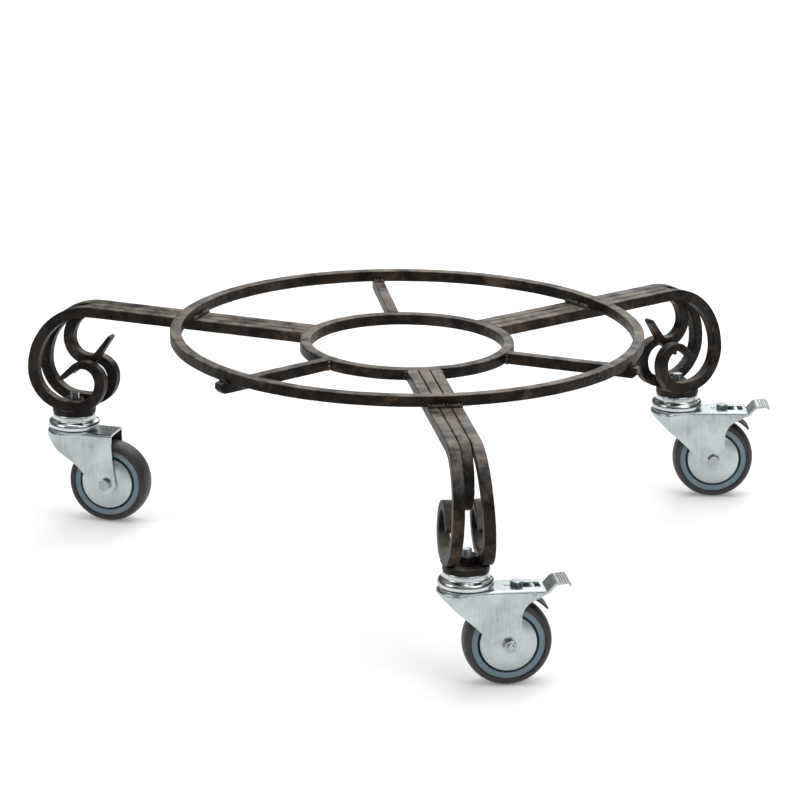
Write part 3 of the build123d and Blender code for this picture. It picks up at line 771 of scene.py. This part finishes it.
def prism(outline, low, high, upright=False):
    """A solid of this outline: of (x, z) points across y, or of (x, y) points up z."""
    shape = bmesh.new()
    loops = []
    for depth in (low, high):
        loops.append([Vector((x, depth, z)) if upright else Vector((x, z, depth)) for x, z in outline])
    skin(shape, loops)
    bmesh.ops.recalc_face_normals(shape, faces=shape.faces)
    return shape


def scratch(shape, name):
    """A helper object for cutting, removed once it has been used."""
    mesh = bpy.data.meshes.new(name)
    bmesh.ops.recalc_face_normals(shape, faces=shape.faces)
    shape.to_mesh(mesh)
    shape.free()
    made = bpy.data.objects.new(name, mesh)
    bpy.context.scene.collection.objects.link(made)
    return made


def cut(body, tools, bevel=0.0):
    """Cut or keep with each (tool, operation) and return the result as a bmesh."""
    for tool, operation in tools:
        step = body.modifiers.new("cut", "BOOLEAN")
        step.object, step.operation, step.solver = tool, operation, "EXACT"
    if bevel:
        worn = body.modifiers.new("worn_edges", "BEVEL")
        worn.width, worn.segments, worn.limit_method = bevel, 2, "ANGLE"
        worn.angle_limit = radians(50)
        worn.use_clamp_overlap = True
    bpy.context.view_layer.update()
    shape = bmesh.new()
    shape.from_object(body, bpy.context.evaluated_depsgraph_get())
    for used in [body] + [tool for tool, _ in tools]:
        bpy.data.objects.remove(used)
    return shape


def fork_outline(rear, inset):
    """Top view of a fork's outside, `inset` within it: flared round nose, straight cheeks."""
    radius = fork_front - inset
    nose_from = atan2(sqrt(fork_front**2 - flare_start**2), -flare_start)
    points = arc((0, 0), radius, nose_from, 2 * pi - nose_from, 40)
    half = fork_half - inset
    right = [points[-1], (flare_start, -half), (rear, -half)]
    left = [(x, -y) for x, y in reversed(right)]
    return left, points[1:-1], right


def folded_shell(rear, inset, lower, extend):
    """Solid under a folded top: the outline dropped straight down, its top edge rounded."""
    loops = []
    fold = max(fold_radius - inset, 0.5 * mm)
    for share in (1.0, 0.75, 0.5, 0.25, 0.0):
        angle = pi / 2 * share
        within = fold * (1 - cos(angle))
        left, nose, right = fork_outline(max(rear, trail + fork_boss) + extend, inset + within)
        outline = left + nose + right
        level = fork_top - lower - fold * (1 - sin(angle))
        loops.append([Vector((x, y, level)) for x, y in outline])
    loops.append([Vector((p.x, p.y, -mm if inset == 0 else -2 * mm)) for p in loops[-1]])
    shape = bmesh.new()
    skin(shape, loops)
    return shape


def block(x_from, x_to, half_width, low, high):
    """A rectangular cutter with slightly rounded corners."""
    round_by = min(mm, half_width * 0.4)
    corners = []
    signs = ((1, 1), (-1, 1), (-1, -1), (1, -1))
    for quarter, (along, aside) in enumerate(signs):
        centre_x = (x_to if along > 0 else x_from) - along * round_by
        centre_y = aside * (half_width - round_by)
        start = pi / 2 * quarter
        corners += arc((centre_x, centre_y), round_by, start, start + pi / 2, 4)
    return prism(corners, low, high)


def disc(x, radius, low, high, slices=48):
    """A round cutter along z at x."""
    return prism([(x + px, py) for px, py in arc((0, 0), radius, 0, 2 * pi, slices)[:-1]], low, high)


zinc = plated("zinc_plate", (0.50, 0.55, 0.565, 1), (0.20, 0.24, 0.255, 1), 0.26, blotch=34)
for leg in legs:
    rear = fork_rear[leg]
    above, below = fork_top + mm, fork_top - 2.5 * sheet
    side = prism(cheek_profile(rear, braked[leg]), -beyond, beyond, upright=True)
    bore, seat = disc(0, track_bore, below, above, 96), disc(0, track_seat, fork_top - seat_depth, above, 96)
    tools = [
        (scratch(folded_shell(rear, sheet, sheet, 40 * mm), "inside"), "DIFFERENCE"),
        (scratch(side, "side"), "INTERSECT"),
        (scratch(bore, "track_bore"), "DIFFERENCE"),
        (scratch(seat, "track_seat"), "DIFFERENCE"),
    ]
    if braked[leg]:
        opening = block(window[0], window[1], window[2] / 2, below, above)
        slot = block(slot_start, brake_bolt_at, slot_width / 2, below, above)
        tools.append((scratch(opening, "window"), "DIFFERENCE"))
        tools.append((scratch(slot, "slot"), "DIFFERENCE"))
    shape = cut(scratch(folded_shell(rear, 0, 0, 0), "outside"), tools, bevel=0.35 * mm)
    lathe(shape, [(p.x * mm, fork_top + p.y * mm) for p in flowing(track_outline)], slices=120)
    shape.transform(castors[leg])
    place(f"{leg}_fork_sheet", shape, zinc, f"{leg}_fork_body", "zinc_plate", f"{leg}_fork", sharp=32)

# ==== the axles =============================================================================
# An M6 hexagon bolt passes through both cheeks and a spacer tube, and a nut holds it; two of
# them are put in from the near side. Zinc-plated, the corners of head and nut turned off.
axle_radius, axle_flats = 3 * mm, 10 * mm
axle_head, axle_nut, axle_end = 4 * mm, 5 * mm, 2 * mm
fine_pitch = 1 * mm
nut_side = {"front": 1, "right": -1, "left": -1}
thread_from = fork_half + 2 * mm
wheel_frames = {}
for leg in legs:
    axle_point = Matrix.Translation((trail, 0, wheel_level))
    wheel_frames[leg] = castors[leg] @ axle_point @ Matrix.Rotation(pi / 2, 4, "X")
for leg in legs:
    body = f"{leg}_fork_body"
    towards_nut = wheel_frames[leg]
    if nut_side[leg] < 0:
        towards_nut = towards_nut @ Matrix.Rotation(pi, 4, "X")
    shape = bmesh.new()
    head_end = -fork_half - axle_head
    hexagon(shape, axle_flats, head_end, -fork_half, core, towards_nut, turn=0.4, bevels=(True, False))
    stem(shape, axle_radius, -fork_half, thread_from, towards_nut, 36)
    end = fork_half + axle_nut + axle_end
    thread(shape, axle_radius, thread_from, end, fine_pitch, towards_nut)
    place(f"{leg}_axle_screw", shape, fastener_zinc, body, "zinc_fastener", f"{leg}_axle_bolt", sharp=30)
    shape = bmesh.new()
    bore, nut_end = axle_radius + 0.05 * mm, fork_half + axle_nut
    hexagon(shape, axle_flats, fork_half, nut_end, bore, towards_nut, turn=0.15)
    node = f"{leg}_axle_nut"
    place(f"{leg}_axle_hexagon_nut", shape, fastener_zinc, body, "zinc_fastener", node, sharp=30)
    finished(f"{leg}_axle_tube", fastener_zinc)

# ==== the wheels: bush and rim ==============================================================
# The rim is moulded in one from blue-grey nylon, with a web and a thick hub, and a white
# bush is pressed into it. The mould leaves a faint satin grain and a step beside the tyre.
rim_outline = (
    (6.7, -12.5), (10.0, -12.5), (10.0, -3.0), (24.4, -3.0), (25.6, -4.4), (25.9, -10.1),
    (26.6, -10.5), (31.0, -10.5), (31.0, 10.5), (26.6, 10.5), (25.9, 10.1), (25.6, 4.4),
    (24.4, 3.0), (10.0, 3.0), (10.0, 12.5), (6.7, 12.5),
)


def moulded(name, light, dark, rough_low, rough_high, grain_scale, grain_depth):
    """Moulded plastic or rubber: faint clouds, uneven gloss and a fine moulded grain."""
    material, tree, shader, where = new_material(name)
    cloud = speckle(tree, where, 45, 5.0)
    grain = speckle(tree, where, grain_scale, 3.0)
    colour = mixed(tree, between(tree, cloud, 0.3, 0.7), light, dark)
    tree.links.new(colour, shader.inputs["Base Color"])
    gloss = add(tree, "ShaderNodeMapRange", {"Value": cloud, "To Min": rough_low, "To Max": rough_high})
    tree.links.new(gloss.outputs["Result"], shader.inputs["Roughness"])
    bumped(tree, shader, [(grain, grain_depth)])
    return material


satin = 0.03 * mm
rim_plastic = moulded(
    "rim_plastic", (0.155, 0.235, 0.275, 1), (0.125, 0.195, 0.232, 1), 0.36, 0.52, 1800, satin
)
bush_plastic = moulded(
    "bush_plastic", (0.62, 0.62, 0.58, 1), (0.50, 0.50, 0.47, 1), 0.4, 0.55, 1500, satin
)
for leg in legs:
    shape = bmesh.new()
    outline = softened([(r * mm, z * mm) for r, z in rim_outline], 0.5 * mm)
    lathe(shape, outline, wheel_frames[leg], 120)
    place(f"{leg}_rim_moulding", shape, rim_plastic, f"{leg}_wheel_body", "rim_plastic", f"{leg}_wheel_rim")
    finished(f"{leg}_wheel_bush", bush_plastic)

# ==== the tyres =============================================================================
# A soft dark brown-grey rubber tyre moulded round the rim, its tread rounded at the
# shoulders, with a fine parting line round the middle and a shallow ring in each side.
tyre_outline = (
    (31.02, 0.0), (31.02, 10.9), (31.4, 11.7), (32.2, 12.0), (32.7, 11.75), (33.2, 12.0),
    (33.9, 11.75), (34.9, 11.15), (35.9, 9.9), (36.75, 7.7), (37.2, 5.0), (37.42, 2.4),
    (37.47, 0.5), (37.5, 0.16), (37.5, 0.0),
)
rubber = moulded(
    "tyre_rubber", (0.030, 0.023, 0.026, 1), (0.019, 0.015, 0.017, 1), 0.42, 0.60, 1400, 0.05 * mm
)
for leg in legs:
    half = [(r * mm, z * mm) for r, z in tyre_outline]
    outline = half + [(r, -z) for r, z in reversed(half[1:-1])]
    shape = bmesh.new()
    lathe(shape, outline, wheel_frames[leg], 144)
    place(f"{leg}_tyre_rubber", shape, rubber, f"{leg}_wheel_body", "tyre_rubber", f"{leg}_tyre", sharp=60)

# ==== the thread guards =====================================================================
# A thin pressed disc on each side of the wheel keeps thread out of the hub: flat in the
# middle, dished down to a rolled edge. Zinc-plated, with faint turning marks.
guard_outline = (
    (7.4, 12.5), (12.0, 12.5), (16.0, 12.3), (20.0, 11.6), (23.0, 10.6), (23.9, 10.0), (24.0, 10.3),
    (23.8, 10.8), (20.2, 12.35), (16.0, 13.1), (12.0, 13.3), (7.4, 13.3),
)
disc_zinc = plated(
    "disc_zinc", (0.52, 0.58, 0.585, 1), (0.38, 0.435, 0.445, 1), 0.36, blotch=40, streak=0.4
)
for leg in legs:
    shape = bmesh.new()
    for face in (1, -1):
        lathe(shape, [(r * mm, z * face * mm) for r, z in guard_outline], wheel_frames[leg], 120)
    body, node = f"{leg}_wheel_body", f"{leg}_thread_guards"
    place(f"{leg}_guard_discs", shape, disc_zinc, body, "zinc_plate", node, sharp=40)

# ==== the brake bolts =======================================================================
# On a braked fork a hexagon bolt stands in the slot of the top and holds the shoe by a
# collar underneath; turning it sets how hard the brake bites. Zinc-plated steel.
brake_flats, brake_head = 10 * mm, 4 * mm
brake_collar = ((0.3, -7.5), (4.2, -7.5), (4.2, -6.5), (3.0, -6.5), (3.0, 0.0), (0.3, 0.0))
for leg in ("front", "right"):
    seat = castors[leg] @ Matrix.Translation((brake_bolt_at, 0, fork_top))
    shape = bmesh.new()
    hexagon(shape, brake_flats, 0, brake_head, core, seat, turn=0.5, bevels=(False, True))
    lathe(shape, softened([(r * mm, z * mm) for r, z in brake_collar], 0.3 * mm), seat, 48)
    body, node = f"{leg}_fork_body", f"{leg}_brake_bolt"
    place(f"{leg}_brake_setscrew", shape, fastener_zinc, body, "zinc_fastener", node, sharp=30)

# ==== the brake shoes =======================================================================
# A strip of dark spring steel hangs on that bolt inside the fork and curves down behind the
# tread. Blanked, bent and blackened.
shoe_half_thick = 0.8 * mm
shoe_half_width = 10 * mm
shoe_level = fork_top - sheet - 0.9 * mm - shoe_half_thick
shoe_ride = 43.3 * mm
shoe_front, shoe_bend = 39.5 * mm, 46 * mm
shoe_wrap = (radians(23.4), radians(47.5))
shoe_eye = 3.6 * mm
spring_steel = plated("spring_steel", (0.060, 0.058, 0.056, 1), (0.022, 0.021, 0.021, 1), 0.42, metallic=0.85)


def along_path(points, step):
    """Evenly spaced stations (x, z, heading) along a line of points."""
    stations = []
    for (x0, z0), (x1, z1) in zip(points, points[1:]):
        length = hypot(x1 - x0, z1 - z0)
        count = max(1, round(length / step))
        heading = atan2(z1 - z0, x1 - x0)
        for k in range(count):
            stations.append((x0 + (x1 - x0) * k / count, z0 + (z1 - z0) * k / count, heading))
    stations.append((points[-1][0], points[-1][1], heading))
    smooth = []
    for index, (x, z, _) in enumerate(stations):
        near = [stations[k][2] for k in range(max(0, index - 1), min(len(stations), index + 1))]
        smooth.append((x, z, sum(near) / len(near)))
    return smooth


def strip(shape, stations, half_thick, half_width, edge, tops=None):
    """A bent strip along these stations, its top face as high as `tops` says at each."""
    loops = []
    for index, (x, z, heading) in enumerate(stations):
        up = Vector((-sin(heading), 0, cos(heading)))
        top = tops[index] if tops else half_thick
        centre = Vector((x, 0, z))
        outline = rounded_outline(top, half_thick, half_width, edge)
        loops.append([centre + up * u + Vector((0, w, 0)) for u, w in outline])
    skin(shape, loops)


for leg in ("front", "right"):
    bent = [(shoe_front - shoe_half_thick, shoe_level), (shoe_bend, shoe_level)]
    bent += arc((trail, wheel_level), shoe_ride, pi / 2 - shoe_wrap[0], pi / 2 - shoe_wrap[1], 14)
    last_x, last_z = bent[-1]
    rise, run = sin(shoe_wrap[1]), cos(shoe_wrap[1])
    bent.append((last_x + shoe_half_thick * run, last_z - shoe_half_thick * rise))
    shape = bmesh.new()
    strip(shape, along_path(bent, mm), shoe_half_thick, shoe_half_width, 0.35 * mm)
    eye = scratch(disc(brake_bolt_at, shoe_eye, fork_top - 12 * mm, fork_top), "eye")
    shape = cut(scratch(shape, "shoe"), [(eye, "DIFFERENCE")])
    shape.transform(castors[leg])
    body, node = f"{leg}_shoe_body", f"{leg}_brake_shoe"
    place(f"{leg}_shoe_strip", shape, spring_steel, body, "dark_spring_steel", node)

# ==== the brake pedals ======================================================================
# The pedal turns on a pin across the fork. Its cam hub shows through the window, and its
# foot rest rises behind the fork with grooves across it for grip. Pressed zinc-plated steel.
pin_level = fork_top - pedal_pin_drop
hub_radius, hub_half = 3.3 * mm, 6 * mm
pedal_half_thick, pedal_half_width = 1.25 * mm, 13 * mm
pedal_tip = 86 * mm
groove_pitch, groove_depth = 2 * mm, 0.65 * mm
grooves_from, grooves_to, groove_share = 0.4 * mm, 5.2 * groove_pitch, 0.32
pedal_zinc = plated("pedal_zinc", (0.55, 0.59, 0.58, 1), (0.40, 0.44, 0.44, 1), 0.42, streak=0.5)


def filleted(corners, radius):
    """Round the inside corners of an open line of points."""
    points = [corners[0]]
    for before, corner, after in zip(corners, corners[1:], corners[2:]):
        b, c, a = Vector(before), Vector(corner), Vector(after)
        into, out_of = (b - c).normalized(), (a - c).normalized()
        back = min(radius, (b - c).length * 0.45, (a - c).length * 0.45)
        for k in range(7):
            t = k / 6
            point = (c + into * back) * (1 - t) ** 2 + c * 2 * t * (1 - t) + (c + out_of * back) * t**2
            points.append((point.x, point.y))
    points.append(corners[-1])
    return points


for leg in ("front", "right"):
    rear = fork_rear[leg]
    neck = fork_top - sheet - mm - pedal_half_thick
    corners = [
        (pedal_pin_at + hub_radius, neck),
        (rear + 2 * mm, neck),
        (rear + 9 * mm, fork_top + 3.9 * mm),
        (pedal_tip - 1.8 * mm, fork_top + 5 * mm),
        (pedal_tip, fork_top + 2.2 * mm),
    ]
    stations = along_path(filleted(corners, 3 * mm), 0.22 * mm)
    tops = []
    for x, z, _ in stations:
        from_tip = pedal_tip - x
        phase = from_tip / groove_pitch % 1
        groove = 0
        if grooves_from < from_tip < grooves_to:
            groove = groove_depth * max(0, 1 - (abs(phase - 0.5) / groove_share) ** 2)
        tip_round = max(0, 1 - from_tip / (0.5 * mm)) * 0.45 * mm
        tops.append(pedal_half_thick - groove - tip_round)
    shape = bmesh.new()
    strip(shape, stations, pedal_half_thick, pedal_half_width, 0.35 * mm, tops)
    hub = [(core, -hub_half), (hub_radius, -hub_half), (hub_radius, hub_half), (core, hub_half)]
    across_fork = Matrix.Translation((pedal_pin_at, 0, pin_level)) @ Matrix.Rotation(pi / 2, 4, "X")
    lathe(shape, softened(hub, 0.5 * mm), across_fork, 48)
    web = [(pedal_pin_at, neck, 0), (pedal_pin_at + hub_radius + mm, neck, 0)]
    strip(shape, web, pedal_half_thick, hub_half, 0.3 * mm)
    shape.transform(castors[leg])
    body, node = f"{leg}_pedal_body", f"{leg}_brake_pedal"
    place(f"{leg}_pedal_lever", shape, pedal_zinc, body, "zinc_plate", node, sharp=40)
    finished(f"{leg}_pedal_pin", fastener_zinc)

# ==== floor, light and camera ===============================================================
# A plain pale floor, large soft lamps above and round it, and a pale surround that darkens
# towards both sides so that the bright metal shows its curves.
floor_mesh = bpy.data.meshes.new("floor")
floor_corners = [(-12, -12, 0), (12, -12, 0), (12, 14, 0), (-12, 14, 0)]
floor_mesh.from_pydata(floor_corners, [], [(0, 1, 2, 3)])
floor = bpy.data.objects.new("floor", floor_mesh)
bpy.context.scene.collection.objects.link(floor)
floor_paint, tree, shader, where = new_material("floor_paint")
tint = mixed(tree, speckle(tree, where, 3), (0.90, 0.90, 0.90, 1), (0.88, 0.88, 0.88, 1))
tree.links.new(tint, shader.inputs["Base Color"])
shader.inputs["Roughness"].default_value = 0.9
shader.inputs["Specular IOR Level"].default_value = 0.1
shader.inputs["Emission Color"].default_value = (1, 1, 1, 1)
shader.inputs["Emission Strength"].default_value = 0.22
floor_mesh.materials.append(floor_paint)

world = bpy.data.worlds.new("studio")
bpy.context.scene.world = world
world.use_nodes = True
tree = world.node_tree
surround = next(node for node in tree.nodes if node.type == "BACKGROUND")
direction = add(tree, "ShaderNodeTexCoord").outputs["Generated"]
height = add(tree, "ShaderNodeSeparateXYZ", {0: direction}).outputs["Z"]
bands = add(tree, "ShaderNodeValToRGB", {"Fac": height})
band = bands.color_ramp
band.elements[0].position, band.elements[0].color = 0.0, (0.62, 0.62, 0.62, 1)
band.elements[1].position, band.elements[1].color = 1.0, (1.0, 1.0, 1.0, 1)
for position, grey in ((0.08, 0.50), (0.20, 0.20), (0.38, 0.20), (0.55, 0.75)):
    stop = band.elements.new(position)
    stop.color = (grey, grey, grey, 1)
sideways = add(tree, "ShaderNodeSeparateXYZ", {0: direction}).outputs["X"]
from_left = add(tree, "ShaderNodeMapRange", {"Value": sideways, "From Min": -1.0, "From Max": 1.0})
screens = add(tree, "ShaderNodeValToRGB", {"Fac": from_left.outputs[0]})
screen = screens.color_ramp
screen.elements[0].position, screen.elements[0].color = 0.05, (0.42, 0.42, 0.42, 1)
screen.elements[1].position, screen.elements[1].color = 0.90, (0.34, 0.34, 0.34, 1)
for position, grey in ((0.58, 1.0), (0.66, 1.0)):
    stop = screen.elements.new(position)
    stop.color = (grey, grey, grey, 1)
glow = mixed(tree, screens.outputs["Color"], (0, 0, 0, 1), bands.outputs["Color"])
tree.links.new(glow, surround.inputs["Color"])
surround.inputs["Strength"].default_value = 0.72

aim = ring_centre + Vector((0, 0, 0.12))


def lamp(name, position, size, power):
    """A square soft lamp aimed at the caddy."""
    data = bpy.data.lights.new(name, "AREA")
    data.shape, data.size, data.energy = "SQUARE", size, power
    made = bpy.data.objects.new(name, data)
    made.location = position
    made.rotation_euler = (aim - Vector(position)).to_track_quat("-Z", "Y").to_euler()
    bpy.context.scene.collection.objects.link(made)


lamp("key", (1.9, -1.7, 2.3), 2.2, 28)
lamp("fill", (-2.3, -0.9, 1.5), 1.4, 13)
lamp("top", (0.2, 0.4, 2.8), 2.2, 36)
lamp("back", (0.6, 2.4, 1.6), 1.6, 24)

# the camera stands in front of the caddy and looks down on the middle of the pot ring
camera_data = bpy.data.cameras.new("camera")
camera = bpy.data.objects.new("camera", camera_data)
bpy.context.scene.collection.objects.link(camera)
bpy.context.scene.camera = camera
camera_data.lens, camera_data.sensor_width = 202.17, 36
camera_data.dof.use_dof = False
looks_down = 0.2719
yaw, pitch, roll = 0.0014, -0.0158, -0.0130
distance = 3.978
target = Vector((ring_centre.x, ring_centre.y, ring_high.z))
stands = target + Vector((0, -cos(looks_down), sin(looks_down))) * distance
ahead = (target - stands).normalized()
rightward = Vector((1, 0, 0))
skyward = rightward.cross(ahead)


def turned_about(axis, angle, *vectors):
    """Turn unit vectors about an axis."""
    turn = Matrix.Rotation(angle, 3, axis)
    return [turn @ vector for vector in vectors]


rightward, ahead = turned_about(skyward, yaw, rightward, ahead)
ahead, skyward = turned_about(rightward, pitch, ahead, skyward)
rightward, skyward = turned_about(ahead, roll, rightward, skyward)
basis = Matrix((rightward, skyward, -ahead)).transposed().to_4x4()
camera.matrix_world = Matrix.Translation(stands) @ basis
camera_data.clip_start, camera_data.clip_end = 0.1, 60

bpy.context.scene.view_settings.view_transform = "Standard"
